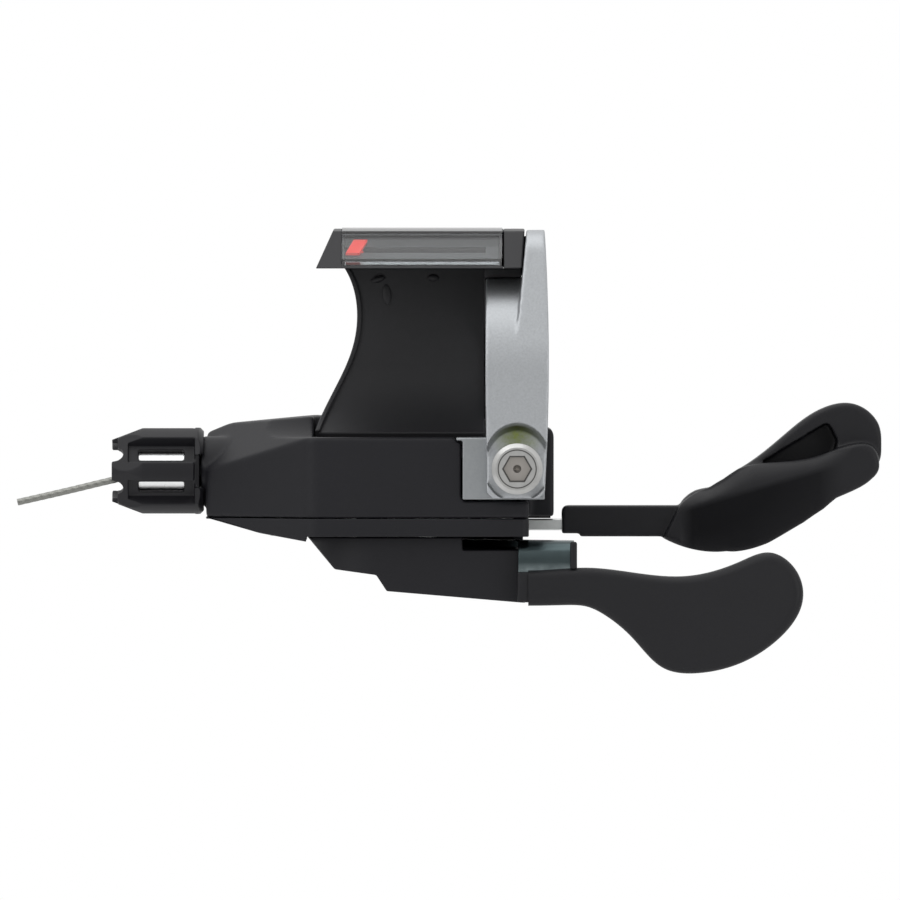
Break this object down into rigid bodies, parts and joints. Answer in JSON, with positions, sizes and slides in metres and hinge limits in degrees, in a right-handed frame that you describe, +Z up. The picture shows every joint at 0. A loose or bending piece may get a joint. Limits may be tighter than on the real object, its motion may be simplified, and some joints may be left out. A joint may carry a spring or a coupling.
{
  "type": "trigger gear shifter",
  "caption": "Right-hand trigger gear shifter for a flat handlebar: alloy clamp band, black housing, thumb lever, release lever, gear display over the bar and barrel adjuster.",
  "frame": {"origin": "centre of the handlebar bore in the clamp band, half-way along the band", "axes": "+X along the handlebar towards its outer end, +Z up, +Y away from the rider"},
  "size_m": [0.1401, 0.0541, 0.0718],
  "materials": {
    "band_alloy": "silver satin cast",
    "bolt_steel": "plated",
    "bracket_alloy": "satin",
    "plate_steel": "zinc plated",
    "hard_steel": "hardened",
    "spring_steel": "drawn",
    "cover_black": "fine moulded texture",
    "lever_black": "fine moulded texture",
    "knob_black": "moulded",
    "display_black": "smooth moulded",
    "lens_clear": "clear acrylic",
    "dial_grey": "printed grey",
    "needle_red": "bright red-orange",
    "spool_nylon": "moulded",
    "dark_chrome": "dark mirror plating",
    "adjuster_silver": "bright turned",
    "cable_steel": "stranded"
  },
  "bodies": {
    "housing": {"clamp_band": "band_alloy", "clamp_bolt": "bolt_steel", "clamp_nut": "bolt_steel", "base_bracket": "bracket_alloy", "base_plate": "plate_steel", "plate_screw": "plate_steel", "upper_cover": "cover_black", "lower_cover": "cover_black", "bottom_cover": "cover_black", "cover_screws": "plate_steel", "indicator_stem": "cover_black", "indicator_tray": "display_black", "indicator_end_cap": "display_black", "indicator_lens": "lens_clear", "dial_plate": "dial_grey", "main_axle": "plate_steel", "axle_nut": "plate_steel", "plate_washer": "plate_steel", "release_washer": "plate_steel", "thumb_washer": "plate_steel", "thumb_return_spring": "spring_steel", "release_return_spring": "spring_steel", "spool_spring": "spring_steel", "hold_pawl_pin": "plate_steel", "inner_cable": "cable_steel"},
    "thumb_lever": {"thumb_plate": "dark_chrome", "thumb_pad": "lever_black", "feed_pawl_pin": "plate_steel"},
    "feed_pawl": {"feed_pawl": "hard_steel"},
    "release_lever": {"release_plate": "plate_steel", "release_pad": "lever_black"},
    "hold_pawl": {"hold_pawl": "hard_steel"},
    "spool": {"cable_spool": "spool_nylon", "ratchet_wheel": "hard_steel", "cable_nipple": "cable_steel"},
    "needle": {"indicator_needle": "needle_red"},
    "adjuster": {"adjuster_knob": "knob_black", "adjuster_bolt": "adjuster_silver"}
  },
  "joints": [
    {"name": "thumb_push", "type": "hinge", "parent": "housing", "child": "thumb_lever", "pos_m": [-0.017, 0.022, -0.026], "axis": [0, 0, 1], "range_deg": [0, 35], "stiffness_Nm_per_rad": 0.06, "springref_deg": -22.92},
    {"name": "feed_pawl_pivot", "type": "hinge", "parent": "thumb_lever", "child": "feed_pawl", "pos_m": [-0.02748, 0.01466, -0.0217], "axis": [0, 0, -1], "range_deg": [0, 8], "stiffness_Nm_per_rad": 0.004, "springref_deg": -11.46},
    {"name": "release_pull", "type": "hinge", "parent": "housing", "child": "release_lever", "pos_m": [-0.017, 0.022, -0.026], "axis": [0, 0, -1], "range_deg": [0, 12], "stiffness_Nm_per_rad": 0.06, "springref_deg": -22.92},
    {"name": "hold_pawl_pivot", "type": "hinge", "parent": "housing", "child": "hold_pawl", "pos_m": [-0.02378, 0.03286, -0.0203], "axis": [0, 0, 1], "range_deg": [0, 10]},
    {"name": "spool_turn", "type": "hinge", "parent": "housing", "child": "spool", "pos_m": [-0.017, 0.022, -0.0172], "axis": [0, 0, 1], "range_deg": [0, 126], "stiffness_Nm_per_rad": 0.01, "springref_deg": -28.65},
    {"name": "needle_slide", "type": "slide", "parent": "housing", "child": "needle", "axis": [1, 0, 0], "range_m": [0, 0.02]},
    {"name": "adjuster_turn", "type": "hinge", "parent": "housing", "child": "adjuster", "pos_m": [-0.058, 0.0135, -0.0172], "axis": [1, 0, 0], "continuous": true}
  ],
  "couplings": [
    {"joint": "hold_pawl_pivot", "follows": "release_pull", "ratio": 0.83},
    {"joint": "needle_slide", "follows": "spool_turn", "m_per_rad": 0.0090855}
  ]
}
